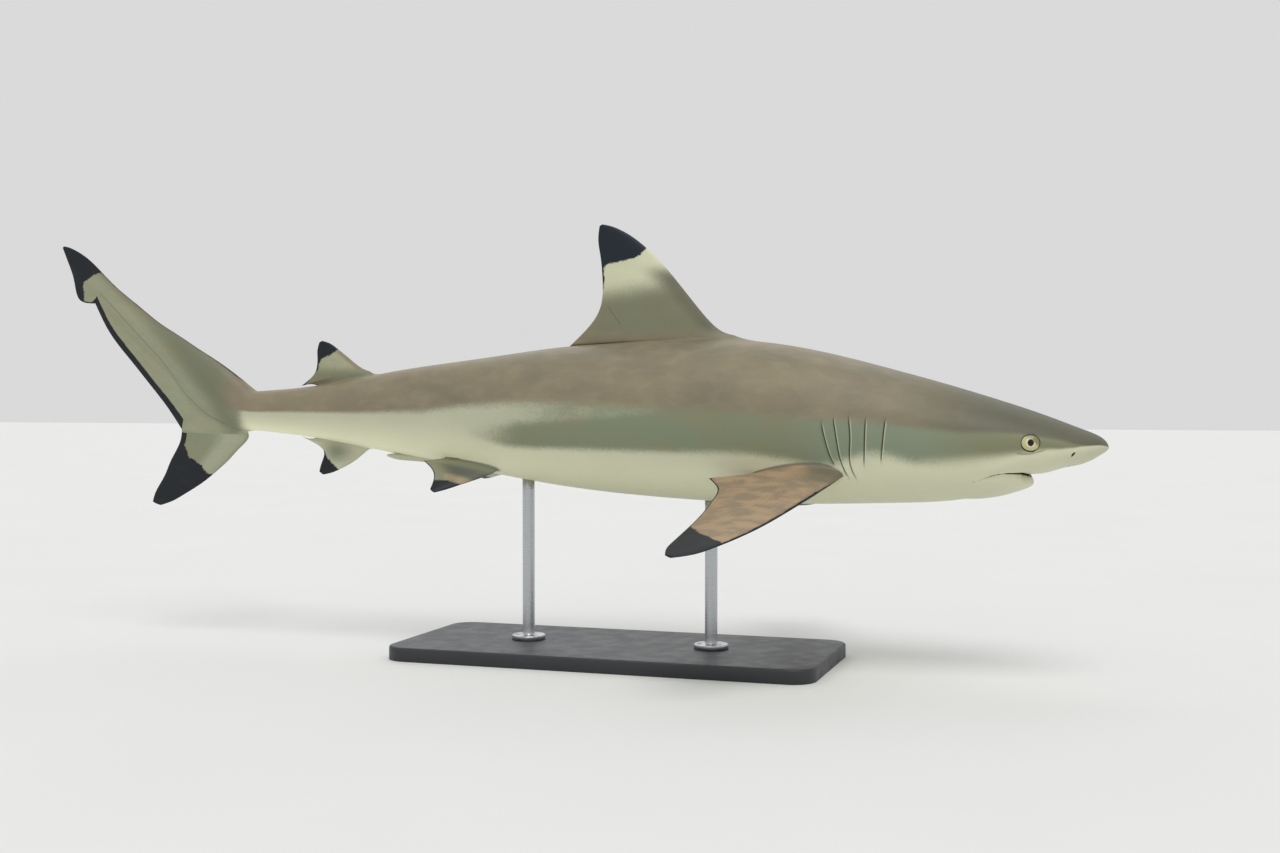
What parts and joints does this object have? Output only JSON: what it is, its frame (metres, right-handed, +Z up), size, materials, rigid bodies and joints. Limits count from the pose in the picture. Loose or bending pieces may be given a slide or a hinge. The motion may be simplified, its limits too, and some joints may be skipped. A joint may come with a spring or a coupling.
{
  "type": "blacktip reef shark display model",
  "caption": "Life-size still model of a blacktip reef shark swimming level, on a flat base with short rods.",
  "frame": {"origin": "middle of the stand base's underside, on the floor", "axes": "+X toward the snout, +Y to the shark's left, +Z up"},
  "size_m": [1.4425, 0.6188, 0.5608],
  "materials": {
    "skin": "satin, grey-brown back shading to a pale belly, black fin tips",
    "pale_skin": "satin, pale cream",
    "eye": "wet gloss",
    "stand_base": "satin dark grey",
    "stand_rod": "brushed"
  },
  "bodies": {
    "root": {"head": "skin", "lower_jaw": "pale_skin", "eye_left": "eye", "eye_right": "eye", "trunk": "skin", "tail_stalk": "skin", "first_dorsal_fin": "skin", "second_dorsal_fin": "skin", "anal_fin": "skin", "pectoral_fin_left": "skin", "pectoral_fin_right": "skin", "pelvic_fin_left": "skin", "pelvic_fin_right": "skin", "clasper_left": "pale_skin", "clasper_right": "pale_skin", "tail_fin_upper_lobe": "skin", "tail_fin_lower_lobe": "skin", "stand_base": "stand_base", "stand_rod_front": "stand_rod", "stand_rod_rear": "stand_rod"}
  },
  "joints": []
}
